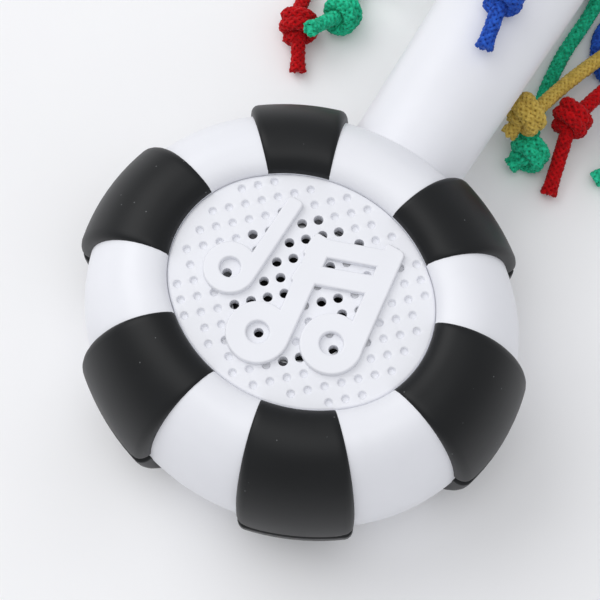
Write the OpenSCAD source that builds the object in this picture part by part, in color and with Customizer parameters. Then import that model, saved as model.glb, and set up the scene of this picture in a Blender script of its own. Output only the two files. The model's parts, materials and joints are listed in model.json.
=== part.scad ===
// Musical shaker for small hands: an oval music head ringed by soft bumpers, a round
// handle that holds rattling beads, and a ball hub threaded with knotted pull cords.
// The toy lies on its back: +X across, +Y from the head to the hub, +Z out of the grille.
// The origin is the middle of its footprint on the table, cords left out.

/* [Head] */
// Half width of the grille opening, across the handle
disc_a = 23; // [21.5:0.5:25]
// Half length of the grille opening, along the handle
disc_b = 19.6; // [18.5:0.1:20.5]
// Width of the ring, from the grille opening to its outer edge
ring_w = 15.3; // [14.5:0.1:17]
// Distance from the grille opening to the crest of the ring
crest_in = 4.3; // [3.5:0.1:5]
// Height of the crest above the parting plane
half_h = 19.7; // [18.5:0.1:21]
// Depth of the grille below the crest
dish = 2.5; // [1.5:0.1:3]
// Wall of the moulded shells
wall = 2.2; // [1.6:0.1:2.6]

/* [Bumpers] */
// Half of the angle that one bumper spans, seen from the head's centre
pad_half_angle = 16.5; // [14:0.5:19]
// The same half angle on the side of a bumper that faces the handle
pad_handle_angle = 11.8; // [10:0.2:14]
// How far a bumper stands proud at the crest
pad_top = 0.5; // [0.4:0.1:1.4]
// How far a bumper stands proud at the parting plane
pad_side = 2.3; // [1.5:0.1:3]
// Depth of the flat that each rear bumper rests on
foot_flat = 0.4; // [0.3:0.05:0.7]
// Gap between a bumper and the shell under it
pad_clear = 0.05; // [0.05:0.05:0.1]
// Half of the seam between a front and a rear bumper
pad_seam = 0.1; // [0.05:0.05:0.2]
// Gap between the handle and the two bumpers beside it
pad_handle_gap = 0.4; // [0.3:0.05:0.8]

/* [Grille] */
// Thickness of the grille plate
grille_t = 2; // [1.6:0.1:2.4]
// Gap round the grille plate
grille_clear = 0.15; // [0.1:0.05:0.3]
// Spacing of the grille's holes
hole_pitch = 2.8; // [2.6:0.1:3.2]
// Diameter of the grille's holes
hole_d = 1.6; // [1.2:0.1:1.8]
// Radius inside which the holes go right through
open_r = 12.7; // [10:0.1:13]
// Depth of the blind holes
dimple_depth = 0.8; // [0.4:0.1:1.2]
// Height of the raised notes
note_h = 1.2; // [0.6:0.1:1.6]
// Length of one unit of the notes' drawing
note_unit = 1; // [0.85:0.05:1.05]

/* [Speaker] */
// Radius of the loudspeaker's flange
speaker_r = 14; // [13.5:0.1:14.5]
// Radius of the loudspeaker's magnet
magnet_r = 8; // [6:0.5:8.5]
// Height of the magnet
magnet_h = 4.5; // [3:0.5:5]
// Depth of the loudspeaker's basket
basket_h = 4; // [3.5:0.1:4.5]
// Gap round the loudspeaker
speaker_clear = 0.15; // [0.1:0.05:0.3]

/* [Electronics] */
// Length of the circuit board, across the handle
board_l = 42; // [40:0.5:43]
// Width of the circuit board
board_w = 26; // [24:0.5:27]
// Thickness of the circuit board
board_t = 1.6; // [1:0.1:2]
// Outer radius of the shake sensor
sensor_r = 2.5; // [2.2:0.1:2.8]
// Length of the shake sensor
sensor_l = 10; // [9:0.5:11]
// Diameter of a button cell
cell_d = 11.6; // [11:0.1:12]
// Thickness of a button cell
cell_t = 5.4; // [5:0.1:5.6]
// Radius of the board's and door's screws
small_screw_r = 1; // [0.8:0.1:1.2]

/* [Battery door and switch] */
// Thickness of the battery door
door_t = 1.8; // [1.4:0.1:1.9]
// Gap round the battery door
door_clear = 0.25; // [0.2:0.05:0.4]
// Distance from the head's centre to each door screw
door_screw_x = 15.5; // [15:0.25:16.5]
// Travel of the power switch
switch_travel = 4; // [3:0.5:5]
// Width of the power switch's nub along its travel
nub_l = 4; // [3:0.5:5]
// How far the nub stands out of the back
nub_out = 1.4; // [0.8:0.1:1.8]

/* [Handle] */
// Radius of the handle at the head
handle_r = 10.5; // [9.5:0.25:11]
// Radius of the handle at the hub
handle_end_r = 11.8; // [11.2:0.1:12.5]
// Distance from the head's centre to the hub's centre
hub_y = 103; // [98:1:115]
// Radius of the rattle chamber inside the handle
chamber_r = 8.4; // [8.2:0.1:8.8]
// Gap between the handle and the collar that holds it
handle_clear = 0.15; // [0.1:0.05:0.3]
// Radius of a rattle bead
bead_r = 3.2; // [2.6:0.1:3.3]
// Gap under a rattle bead
bead_clear = 0.15; // [0.1:0.05:0.3]

/* [Hub and cords] */
// Wall of the ball hub
hub_wall = 2.5; // [2:0.1:3]
// Diameter of a pull cord
cord_d = 3; // [2.5:0.1:3.2]
// Gap round a cord in its bore
cord_clear = 0.6; // [0.4:0.1:0.8]
// Radius of a knot
knot_r = 4; // [3.6:0.1:4.2]

/* [Hidden] */
$fn = 48;
// Steps of the ring's section, and of its short inner rise
fall_steps = 12;
rise_steps = 4;
// Overlap that fuses two shapes of one piece, and reach of cutting tools
fuse = 0.4;
far = 60;

// The grille opening is an oval of four quarter arcs: two end arcs centred on X, two side arcs on Y
oval_c = (disc_a - disc_b) / (2 - sqrt(2));
end_r = disc_a - oval_c;
side_r = disc_b + oval_c;

// Heights from the parting plane of the head
seat_z = half_h - dish;
grille_z = seat_z - grille_t;
plate_in_z = -seat_z + grille_t;
table_z = -(half_h + pad_top - foot_flat);
hub_r = -table_z;

// Ledge that carries the grille
ledge_w = 1.6;
ledge_t = 1.6;
rim_t = 1.8;

// Collar that holds the handle between the two shells
collar_t = 2.4;
collar_r = handle_r + handle_clear + collar_t;
collar_y = disc_b + crest_in;
flange_t = 2;
flange_lip = 1.6;
flange_r = handle_r + flange_lip;
collar_end = max(disc_b + inner_fall(collar_r), inner_edge(collar_r)) + fuse;

// Screws that join the two shells, in the white fields beside the end bumpers
post_turn = 36;
post_s = 6;
post_r = 2.8;
post_sink = 0.15;
post_top = half_h - wall + post_sink;
post_x = oval_c + (end_r + post_s) * cos(post_turn);
post_y = (end_r + post_s) * sin(post_turn);
shell_screw_r = 1.2;
shell_head_r = 2.3;
shell_head_t = 1.8;
shell_bore_depth = 9;
shell_head_z = -half_h + shell_bore_depth;
shell_screw_l = 17.2;
shell_screw_top = shell_head_z + shell_head_t + shell_screw_l;
screw_clear = 0.2;

// Lattice of holes: how many to each side, and the share of the grille that they keep to
lattice_n = ceil(disc_a / hole_pitch) + 1;
rim_share = 0.935;

// Raised notes, in their own units from the grille's centre. Heads: centre, radius, hollow's radius
note_heads = note_unit * [[-11.8, -3.1, 4.5, 1.75], [-2, -10.1, 5.3, 1.9], [9.2, -5.45, 5.2, 1.95]];
// Stems: right corner of the foot, right corner of the top, width
note_stems = note_unit * [
    [-7.3, -3.1, -7.3, 12.9, 2.8],
    [3.3, -9.5, 0.5, 9.6, 3.6],
    [14.4, -5.5, 11.5, 14.2, 3.6]
];
// Beams: upper left corner, upper right corner, thickness
note_beams = note_unit * [[-3.1, 8.6, 11.5, 14.2, 3.5], [-2.4, 3.7, 12, 9.27, 3.6]];

// Loudspeaker, from the grille down
gasket_t = 0.6;
flange_h = 0.8;
gasket_w = 1.8;
cup_t = 1.2;
cup_h = 3;
basket_z = grille_z - gasket_t - flange_h - basket_h;
magnet_z = basket_z - magnet_h;
magnet_lap = 2;
basket_t = 0.8;
cone_t = 0.4;
cone_gap = 0.3;
cap_r = 3.5;

// Circuit board on its posts, with the loudspeaker above and the batteries below
board_z = 0;
board_post_r = 2.4;
board_inset = 3;
board_post_x = board_l / 2 - board_inset;
board_post_y = board_w / 2 - board_inset;
board_screw_l = 7;
board_head_r = 1.9;
board_head_t = 1.1;
chip_at = [8, -7];
chip_r = 4;
chip_h = 1.2;
sensor_at = [-4, board_w / 2 - sensor_r];
sensor_wall = 0.4;
sensor_ball_r = 1.6;
sensor_ball_clear = 0.1;
sensor_base_t = 1.4;

// Row of button cells lying along X in their trough
cells = 3;
cell_gap = 0.05;
cell_row = cells * (cell_t + cell_gap);
contact_t = 0.4;
contact_bump = 1.2;
contact_clear = 0.1;
contact_inset = 1;
trough_l = cell_row + contact_bump + 2 * contact_t + 3 * contact_clear;
cell_clear = 0.4;
trough_w = cell_d + 2 * cell_clear;
trough_t = 1.4;
cell_z = plate_in_z + cell_clear + cell_d / 2;
trough_h = cell_d + 2 * cell_clear;
seat_t = 1.2;
row_x = -trough_l / 2 + contact_t + contact_bump + 2 * contact_clear;

// Battery door, a slot shape with a screw at each end
door_end_r = 5;
door_half_w = trough_w / 2 + trough_t;
door_seat_gap = 0.2;
door_post_r = 2.6;
door_screw_l = 6;
door_head_r = 1.9;
door_head_t = 0.9;

// Power switch, a knob in a slot of the back plate under the switch body
switch_inset = 5;
switch_y = -disc_b + switch_inset;
nub_w = 3;
slot_clear = 0.3;
knob_lap = 1;
knob_flange_l = nub_l + 2 * switch_travel + 2 * knob_lap;
knob_flange_w = 4.6;
knob_flange_t = 0.8;
knob_lift = 0.1;
rail_t = 1.2;
rail_h = 1.6;
rail_l = knob_flange_l + switch_travel + 2 * knob_lap;
switch_body_h = 3.6;
stem_w = 1.6;
stem_h = 1.6;

// Handle and its rattle chamber
shoulder_y = hub_y - sqrt(pow(hub_r, 2) - pow(handle_end_r, 2));
handle_in_y = collar_y - handle_clear - flange_t;
handle_out_y = disc_b + ring_w;
chamber_inset = 3;
chamber_y0 = handle_out_y + chamber_inset;
end_wall = 2.5;
chamber_y1 = shoulder_y - end_wall;
plug_t = 3;
plug_step = 0.6;
plug_clear = 0.1;
spigot_r = 8;
spigot_l = 3;
spigot_clear = 0.1;
lane_turn = 42;
lane_r = chamber_r - bead_r - bead_clear;
bead_first = chamber_y0 + bead_r + bead_clear;
bead_last = chamber_y1 - bead_r - bead_clear;
bead_gap = 0.5;
bead_travel = (bead_last - bead_first - 2 * bead_r - bead_gap) / 2;

// Ball hub
lip_t = 1.2;
lip_l = 2;
lip_clear = 0.1;

// Middle of the whole length, without the cords
front_y = -(disc_b + ring_w + pad_side);
back_y = hub_y + hub_r;
head_y = -(front_y + back_y) / 2;

// Each cord crosses the hub in a straight bore: distance of the bore from the hub's
// centre along Y, and its turn about Y, counted from +X down towards the table
green_bore = [-10.5, 55];
blue_bore = [-5.5, 52];
red_bore = [4, 10];
yellow_bore = [8.5, 30];
mint_bore = [13, 0];
BORES = [green_bore, blue_bore, red_bore, yellow_bore, mint_bore];

// Routes of the cords after their bores, from the head's centre on the table, as they lie
red_right_route = [
    [25, 106, 14], [29, 100, 9], [28.5, 92, 5.5],
    [26, 83, 5.2], [22.7, 73, 6.2], [21.2, 67.4, 6.4]
];
red_left_route = [[-25, 106.5, 24], [-32, 103, 20], [-36.5, 96, 10], [-38, 88, 2.5], [-38.5, 77, 1.5],
    [-38, 66, 1.5], [-36.3, 57.3, 3]];
blue_low_route = [
    [15, 96, 2], [16, 90, 1.5], [16, 84, 1.5],
    [19, 78.5, 1.5], [24.5, 76.6, 1.6], [27.2, 75.8, 2.9]
];
blue_top_route = [
    [-14.5, 97, 38], [-13.5, 93, 42.5], [-9.5, 87, 44],
    [-5, 80, 41], [-1, 73, 36.5], [0.7, 68.5, 35.1]
];
yellow_right_route = [[21, 111.5, 7.6], [26.5, 108, 3.2], [27, 100, 1.5], [24, 92, 1.6], [21.5, 86, 3],
    [18.8, 79, 5.2], [16, 70, 7], [14.2, 61.7, 9.2]];
yellow_left_route = [[-20.5, 112, 31], [-27, 113.5, 29], [-32, 116, 19], [-34.5, 119, 7], [-34, 123.5, 1.8],
    [-30, 127.5, 1.5], [-26.4, 129.3, 2.8]];
green_right_route = [
    [11.6, 91.5, 2.6], [12, 86, 1.5], [11.8, 78, 1.5],
    [12.5, 70, 1.5], [14, 62.5, 1.5], [15.4, 58.2, 2.6]
];
green_left_route = [[-12.5, 92, 37], [-18, 88.5, 38], [-24, 82.5, 30], [-28, 77, 15], [-29.5, 72, 4.5],
    [-29.4, 68.3, 1.9], [-29, 64.6, 3.1]];
mint_right_route = [[21, 116.5, 19.6], [29, 114.5, 15.5], [35, 109, 6.5], [37.5, 101, 1.7], [37.5, 90, 1.5],
    [37, 80, 1.5], [36, 72, 1.5], [34.7, 67.5, 2.8]];
mint_left_route = [
    [-21, 116, 18.8], [-27.5, 113, 11], [-31, 108, 3],
    [-32.5, 101, 1.5], [-31, 94, 1.5], [-29.1, 90.6, 2.8]
];

// Middle of each knot and the end of its short tail
red_knots = [[[20.2, 63.9, 6.6], [23.6, 50.5, 1.5]], [[-34.3, 54.3, knot_r], [-30, 47, 1.5]]];
blue_knots = [[[30.5, 74.6, knot_r], [28, 68, 1.5]], [[1.2, 64.9, 35.5], [3, 55.5, 33]]];
yellow_knots = [[[13.1, 58.4, 10.6], [11.6, 54.8, 7]], [[-23, 130.5, knot_r], [-16, 130.5, 1.5]]];
green_knots = [[[16.5, 54.9, knot_r], [14.6, 51.4, 2.2]], [[-28.6, 60.9, knot_r], [-30.7, 52.5, 9.6]]];
mint_knots = [[[33.5, 64.2, knot_r], [29.5, 57.6, 1.5]], [[-28, 87.2, knot_r], [-24, 81, 1.5]]];

BUMPERS = [for (k = [1:6]) k];
BEADS = [for (k = [1:4]) k];

// Placing: the head, handle and hub from the head's parting plane, the cords from the table
module at_head() { translate([0, head_y, -table_z]) children(); }
module at_table() { translate([0, head_y, 0]) children(); }
module along_y(y) { translate([0, y, 0]) rotate([-90, 0, 0]) children(); }
module along_x(x) { translate([x, 0, 0]) rotate([0, 90, 0]) children(); }

// Ring section: distance outwards from the grille opening, and height above the parting plane
function rise_point(u, top) = [crest_in * (1 - cos(u)), seat_z + (half_h + top - seat_z) * sin(u)];
function fall_point(u, top, side) = [
    crest_in + (ring_w + side - crest_in) * sin(u),
    (half_h + top) * cos(u)
];
function ring_curve(top, side, from = 0, low = 0) = concat(
    [for (i = [0:rise_steps]) rise_point(from + (90 - from) * i / rise_steps, top)],
    [for (i = [1:fall_steps - 1]) fall_point(90 * i / fall_steps, top, side)],
    [[ring_w + side, low]]
);
// Distance of the ring's inner wall at a height, and its reach along Y beside a bore of that radius
function inner_fall(h) = crest_in + (ring_w - wall - crest_in) * sqrt(1 - pow(h / (half_h - wall), 2));
function inner_edge(x) = sqrt(pow(side_r + ring_w - wall, 2) - pow(x, 2)) - oval_c;
function backwards(list) = [for (i = [len(list) - 1:-1:0]) list[i]];

// Carries a section round the four arcs of the oval
module end_arc() {
    translate([oval_c, 0, 0]) rotate(-45) rotate_extrude(angle = 90) translate([end_r, 0]) children();
}
module side_arc() {
    translate([0, -oval_c, 0]) rotate(45) rotate_extrude(angle = 90) translate([side_r, 0]) children();
}
module oval_sweep() {
    for (turn = [0, 180]) rotate(turn) {
        end_arc() children();
        side_arc() children();
    }
}

// Oval plate that reaches a distance past the grille opening, with a core that ties its sectors
module oval_plate(grow, z, t) {
    translate([0, 0, z]) {
        for (turn = [0, 180]) rotate(turn) {
            translate([oval_c, 0, 0]) rotate(-45) rotate_extrude(angle = 90) square([end_r + grow, t]);
            translate([0, -oval_c, 0]) rotate(45) rotate_extrude(angle = 90) square([side_r + grow, t]);
        }
        cylinder(r = disc_b + grow - fuse, h = t);
    }
}

// Wall of a shell: the front one ends in the ledge that carries the grille, the rear one at its plate
module ring_wall(ledge) {
    ledge_z = grille_z - ledge_t;
    polygon(concat(
        ring_curve(0, 0),
        [for (i = [fall_steps:-1:0]) let (u = 90 * i / fall_steps)
            [crest_in + (ring_w - wall - crest_in) * sin(u), (half_h - wall) * cos(u)]],
        [[rim_t, half_h - wall - fuse]],
        ledge ? [[rim_t, ledge_z], [-ledge_w, ledge_z], [-ledge_w, grille_z], [0, grille_z]]
            : [[rim_t, grille_z + fuse], [0, grille_z + fuse]]
    ));
}

// The four shell screws' places
module at_posts() { for (x = [-post_x, post_x], y = [-post_y, post_y]) translate([x, y, 0]) children(); }
// The four board screws' places
module at_board_posts() {
    for (x = [-board_post_x, board_post_x], y = [-board_post_y, board_post_y])
        translate([x, y, 0]) children();
}
// The two door screws' places
module at_door_screws() { for (x = [-door_screw_x, door_screw_x]) translate([x, 0, 0]) children(); }

// The passage is turned so that its seam line lies outside the shell that it cuts
module handle_passage() { along_y(0) rotate(90) cylinder(r = handle_r + handle_clear, h = far); }
module collar() {
    difference() {
        along_y(collar_y) rotate(90) cylinder(r = collar_r, h = collar_end - collar_y);
        translate([-far / 2, 0, -far]) cube([far, far, far]);
    }
}

module head_front_shell() {
    color("white") at_head() difference() {
        union() {
            oval_sweep() ring_wall(true);
            at_posts() cylinder(r = post_r, h = post_top);
            collar();
        }
        at_posts() translate([0, 0, -1]) cylinder(r = shell_screw_r, h = shell_screw_top + 2);
        handle_passage();
    }
}

module door_outline(grow) {
    for (x = [-1, 1]) translate([x * door_screw_x, 0]) circle(r = door_end_r + grow);
    square([2 * (door_screw_x + grow), 2 * (door_half_w + grow)], center = true);
}

module head_rear_shell() {
    color("white") at_head() difference() {
        union() {
            mirror([0, 0, 1]) {
                oval_sweep() ring_wall(false);
                collar();
            }
            oval_plate(fuse, -seat_z, grille_t);
            at_posts() translate([0, 0, -post_top]) cylinder(r = post_r, h = post_top - screw_clear);
            at_board_posts() translate([0, 0, plate_in_z - fuse])
                cylinder(r = board_post_r, h = board_z - plate_in_z + fuse);
            battery_trough();
            switch_rails();
        }
        at_posts() translate([0, 0, -half_h - 1])
            cylinder(r = shell_head_r + screw_clear, h = half_h + 1 + shell_head_z + shell_head_t);
        at_posts() translate([0, 0, -half_h]) cylinder(r = shell_screw_r + screw_clear, h = half_h + 1);
        at_board_posts() translate([0, 0, board_z - board_screw_l]) cylinder(r = small_screw_r, h = far);
        translate([0, 0, -seat_z - 1]) linear_extrude(grille_t + 1) door_outline(door_clear);
        translate([-trough_l / 2, -trough_w / 2, -seat_z]) cube([trough_l, trough_w, grille_t + trough_h]);
        at_door_screws() translate([0, 0, -seat_z])
            cylinder(r = small_screw_r + screw_clear, h = grille_t + door_screw_l);
        switch_slot();
        mirror([0, 0, 1]) handle_passage();
    }
}

// Walls round the cells, the seat that the door closes against, and the door screws' posts
module battery_trough() {
    out_l = trough_l + 2 * trough_t;
    out_w = trough_w + 2 * trough_t;
    translate([-out_l / 2, -out_w / 2, plate_in_z - fuse]) cube([out_l, out_w, trough_h + trough_t + fuse]);
    translate([0, 0, plate_in_z - fuse]) linear_extrude(seat_t + fuse) door_outline(door_clear + trough_t);
    at_door_screws() translate([0, 0, plate_in_z - fuse])
        cylinder(r = door_post_r, h = door_screw_l + trough_t + fuse);
}

// Rails beside the switch knob, which carry the switch body
module switch_rails() {
    from_knob = knob_flange_w / 2 + screw_clear + rail_t / 2;
    for (side = [-1, 1])
        translate([-rail_l / 2, switch_y + side * from_knob - rail_t / 2, plate_in_z - fuse])
            cube([rail_l, rail_t, rail_h + fuse]);
}

module switch_slot() {
    slot_l = nub_l + switch_travel + 2 * slot_clear;
    slot_w = nub_w + 2 * slot_clear;
    translate([-slot_l / 2, switch_y - slot_w / 2, -seat_z - 1]) cube([slot_l, slot_w, grille_t + 2]);
}

// Raised notes, drawn on the grille's face
module notes() {
    difference() {
        union() {
            for (n = note_heads) translate([n[0], n[1]]) circle(r = n[2]);
            for (n = note_stems)
                polygon([[n[0] - n[4], n[1]], [n[0], n[1]], [n[2], n[3]], [n[2] - n[4], n[3]]]);
            for (n = note_beams)
                polygon([[n[0], n[1] - n[4]], [n[2], n[3] - n[4]], [n[2], n[3]], [n[0], n[1]]]);
        }
        for (n = note_heads) translate([n[0], n[1]]) circle(r = n[3]);
    }
}

// Grille holes on a square lattice turned by 45 degrees, kept inside the rim
function lattice(i, j) = hole_pitch / sqrt(2) * [i + j, i - j];
function in_rim(p) = norm([p[0] / disc_a, p[1] / disc_b]) <= rim_share;
HOLES = [
    for (i = [-lattice_n:lattice_n], j = [-lattice_n:lattice_n])
        let (p = lattice(i, j)) if (in_rim(p)) p
];

// A hole is left out where a note covers it, and kept in the hollow of a note's head
function from_head(p, n) = norm(p - [n[0], n[1]]);
function on_head(p, n) = from_head(p, n) < n[2] + hole_d / 2 && from_head(p, n) > n[3];
function stem_x(n, y) = n[0] + (n[2] - n[0]) * (y - n[1]) / (n[3] - n[1]);
function on_stem(p, n) = p[1] > n[1] && p[1] < n[3] + hole_d
    && p[0] > stem_x(n, p[1]) - n[4] - hole_d / 2 && p[0] < stem_x(n, p[1]) + hole_d / 2;
function beam_y(n, x) = n[1] + (n[3] - n[1]) * (x - n[0]) / (n[2] - n[0]);
function on_beam(p, n) = p[0] > n[0] - hole_d && p[0] < n[2] + hole_d
    && p[1] > beam_y(n, p[0]) - n[4] - hole_d / 2 && p[1] < beam_y(n, p[0]) + hole_d / 2;
function covered(p) = len([for (n = note_heads) if (on_head(p, n)) n]) > 0
    || len([for (n = note_stems) if (on_stem(p, n)) n]) > 0
    || len([for (n = note_beams) if (on_beam(p, n)) n]) > 0;

module speaker_grille() {
    color("white") at_head() difference() {
        union() {
            oval_plate(-grille_clear, grille_z, grille_t);
            translate([0, 0, seat_z - fuse]) linear_extrude(note_h + fuse) notes();
            translate([0, 0, grille_z - cup_h])
                cylinder(r = speaker_r + speaker_clear + cup_t, h = cup_h + fuse);
        }
        translate([0, 0, grille_z - cup_h - 1]) cylinder(r = speaker_r + speaker_clear, h = cup_h + 1);
        for (p = HOLES) if (!covered(p))
            translate([p[0], p[1], norm(p) <= open_r ? grille_z - 1 : seat_z - dimple_depth])
                cylinder(d = hole_d, h = grille_t + 2);
    }
}

// Bumper: a band of the section between two radial planes
pad_start = 20;
module pad_section() {
    polygon(concat(
        ring_curve(pad_top, pad_side, pad_start, pad_seam),
        backwards(ring_curve(pad_clear, pad_clear, pad_start, pad_seam))
    ));
}
module pad_wedge(before, after) {
    reach = disc_a + ring_w + far;
    translate([0, 0, -far]) linear_extrude(2 * far)
        polygon([[0, 0], [reach, -reach * tan(before)], [reach, reach * tan(after)]]);
}
// Bumpers 1 and 4 sit on the end arcs, the others on the side arcs, counted round from +X
module front_pad_shape(k) {
    turn = 60 * (k - 1);
    before = k == 3 ? pad_handle_angle : pad_half_angle;
    after = k == 2 ? pad_handle_angle : pad_half_angle;
    difference() {
        intersection() {
            if (k == 1 || k == 4) rotate(k == 1 ? 0 : 180) end_arc() pad_section();
            else rotate(k < 4 ? 0 : 180) side_arc() pad_section();
            rotate(turn) pad_wedge(before, after);
        }
        if (k == 2 || k == 3) along_y(0) rotate(90) cylinder(r = handle_r + pad_handle_gap, h = far);
    }
}
module front_pad(k) { color([0.13, 0.13, 0.14]) at_head() front_pad_shape(k); }
// Rear bumpers mirror the front ones and are cut flat where the head rests
module rear_pad(k) {
    color([0.13, 0.13, 0.14]) at_head() difference() {
        mirror([0, 0, 1]) front_pad_shape(k);
        translate([-far, -far, table_z - far]) cube([2 * far, 2 * far, far]);
    }
}

module speaker_gasket() {
    color("dimgray") at_head() translate([0, 0, grille_z - gasket_t]) difference() {
        cylinder(r = speaker_r, h = gasket_t);
        translate([0, 0, -1]) cylinder(r = speaker_r - gasket_w, h = gasket_t + 2);
    }
}
module speaker_frame() {
    top = basket_h + flange_h;
    inner = speaker_r - gasket_w;
    hole = magnet_r - magnet_lap;
    color("silver") at_head() translate([0, 0, basket_z]) rotate_extrude() polygon([
        [hole, 0], [magnet_r + basket_t, 0], [inner, basket_h], [speaker_r, basket_h], [speaker_r, top],
        [inner - basket_t, top], [inner - basket_t, basket_h], [magnet_r, basket_t], [hole, basket_t]
    ]);
}
module speaker_cone() {
    outer = speaker_r - gasket_w - basket_t - cone_gap;
    low = basket_t + cone_gap;
    top = basket_h + flange_h - cone_gap;
    color("black") at_head() translate([0, 0, basket_z]) rotate_extrude() polygon([
        [0, low], [cap_r, low], [outer, top - cone_t],
        [outer, top], [cap_r, low + cone_t], [0, low + 2 * cone_t]
    ]);
}
module speaker_magnet() {
    color("dimgray") at_head() translate([0, 0, magnet_z]) cylinder(r = magnet_r, h = magnet_h);
}

module circuit_board() {
    color("darkgreen") at_head() difference() {
        translate([-board_l / 2, -board_w / 2, board_z]) cube([board_l, board_w, board_t]);
        at_board_posts() translate([0, 0, board_z - 1])
            cylinder(r = small_screw_r + screw_clear, h = board_t + 2);
    }
}
module sound_chip() {
    dome_r = (pow(chip_r, 2) + pow(chip_h, 2)) / (2 * chip_h);
    color("black") at_head() translate([chip_at[0], chip_at[1], board_z + board_t]) intersection() {
        translate([0, 0, chip_h - dome_r]) sphere(r = dome_r);
        cylinder(r = chip_r + 1, h = chip_h + 1);
    }
}
module pan_screw(head_r, head_t, shaft_r, shaft_l) {
    cylinder(r = head_r, h = head_t);
    translate([0, 0, -shaft_l]) cylinder(r = shaft_r, h = shaft_l + fuse);
}
module board_screws() {
    color("silver") at_head() at_board_posts() translate([0, 0, board_z + board_t])
        pan_screw(board_head_r, board_head_t, small_screw_r - pad_clear, board_t + board_screw_l - fuse);
}

// Shake sensor: a ball that runs in a small can lying on the board
module at_sensor() { translate([sensor_at[0], sensor_at[1], board_z + board_t + sensor_r]) children(); }
module shake_sensor_can() {
    color("silver") at_head() at_sensor() difference() {
        along_x(-sensor_l) cylinder(r = sensor_r, h = sensor_l);
        along_x(-sensor_l + sensor_wall) cylinder(r = sensor_r - sensor_wall, h = sensor_l);
    }
}
module shake_sensor_base() {
    color("tan") at_head() at_sensor() along_x(-sensor_base_t)
        cylinder(r = sensor_r - sensor_wall - sensor_ball_clear, h = sensor_base_t);
}
module shake_sensor_ball() {
    drop = sensor_r - sensor_wall - sensor_ball_r - sensor_ball_clear;
    color("gold") at_head() at_sensor()
        translate([-sensor_base_t - sensor_ball_clear - sensor_ball_r, 0, -drop]) sphere(r = sensor_ball_r);
}

// Button cells in a row, with a plain contact at one end and a sprung one at the other
module battery_cells() {
    color("silver") at_head() for (i = [0:cells - 1])
        translate([row_x + i * (cell_t + cell_gap), 0, cell_z]) along_x(0) cylinder(d = cell_d, h = cell_t);
}
module contact_blade(x) {
    translate([x, -cell_d / 2 + contact_inset, plate_in_z + contact_inset])
        cube([contact_t, cell_d - 2 * contact_inset, trough_h - contact_inset - contact_clear]);
}
module battery_contact_plate() {
    color("silver") at_head() contact_blade(trough_l / 2 - contact_t - contact_clear / 2);
}
module battery_contact_spring() {
    x = -trough_l / 2 + contact_clear;
    color("silver") at_head() {
        contact_blade(x);
        translate([x, 0, cell_z]) along_x(0) cylinder(r1 = cell_d / 3, r2 = 1, h = contact_t + contact_bump);
    }
}

module battery_door() {
    color("white") at_head() difference() {
        translate([0, 0, -seat_z]) linear_extrude(door_t) door_outline(0);
        at_door_screws() translate([0, 0, -seat_z - 1]) {
            cylinder(r = small_screw_r + screw_clear, h = door_t + 2);
            cylinder(r = door_head_r + screw_clear, h = door_head_t + 1);
        }
    }
}
module door_screws() {
    color("silver") at_head() at_door_screws() translate([0, 0, -seat_z + door_head_t]) mirror([0, 0, 1])
        pan_screw(door_head_r, door_head_t, small_screw_r, door_screw_l);
}

module power_switch_body() {
    out_w = knob_flange_w + 2 * (screw_clear + rail_t);
    base = plate_in_z + rail_h;
    color("silver") at_head() difference() {
        translate([-knob_flange_l / 2, switch_y - out_w / 2, base])
            cube([knob_flange_l, out_w, switch_body_h]);
        translate([-(switch_travel + stem_w) / 2 - slot_clear, switch_y - stem_w / 2 - slot_clear, base - 1])
            cube([switch_travel + stem_w + 2 * slot_clear, stem_w + 2 * slot_clear, stem_h + 1]);
    }
}
module power_switch_knob() {
    base = plate_in_z + knob_lift;
    top = base + knob_flange_t;
    stem_top = plate_in_z + rail_h + stem_h - slot_clear;
    color("black") at_head() translate([-switch_travel / 2, switch_y, 0]) {
        translate([-knob_flange_l / 2, -knob_flange_w / 2, base])
            cube([knob_flange_l, knob_flange_w, knob_flange_t]);
        translate([-nub_l / 2, -nub_w / 2, -seat_z - nub_out]) cube([nub_l, nub_w, top + seat_z + nub_out]);
        translate([-stem_w / 2, -stem_w / 2, base]) cube([stem_w, stem_w, stem_top - base]);
    }
}

module shell_screws() {
    color("silver") at_head() at_posts() translate([0, 0, shell_head_z + shell_head_t]) mirror([0, 0, 1])
        pan_screw(shell_head_r, shell_head_t, shell_screw_r - pad_clear, shell_screw_l);
}

module handle_tube() {
    color("white") at_head() along_y(0) difference() {
        rotate_extrude() polygon([
            [0, handle_in_y], [flange_r, handle_in_y], [flange_r, handle_in_y + flange_t],
            [handle_r, handle_in_y + flange_t], [handle_r, handle_out_y], [handle_end_r, shoulder_y],
            [spigot_r, shoulder_y], [spigot_r, shoulder_y + spigot_l], [0, shoulder_y + spigot_l]
        ]);
        translate([0, 0, chamber_y0]) cylinder(r = chamber_r, h = chamber_y1 - chamber_y0);
        translate([0, 0, handle_in_y - 1])
            cylinder(r = chamber_r + plug_step, h = chamber_y0 - handle_in_y + 1);
    }
}
module handle_plug() {
    color("white") at_head() along_y(chamber_y0 - plug_t)
        cylinder(r = chamber_r + plug_step - plug_clear, h = plug_t);
}
// Beads lie on the floor of the chamber in two lanes, two to a lane
module rattle_bead(k) {
    turn = -90 + (k % 2 == 1 ? -lane_turn : lane_turn);
    y = k < 3 ? bead_first : bead_last - bead_travel;
    color("orange") at_head() translate([lane_r * cos(turn), y, lane_r * sin(turn)]) sphere(r = bead_r);
}

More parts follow.
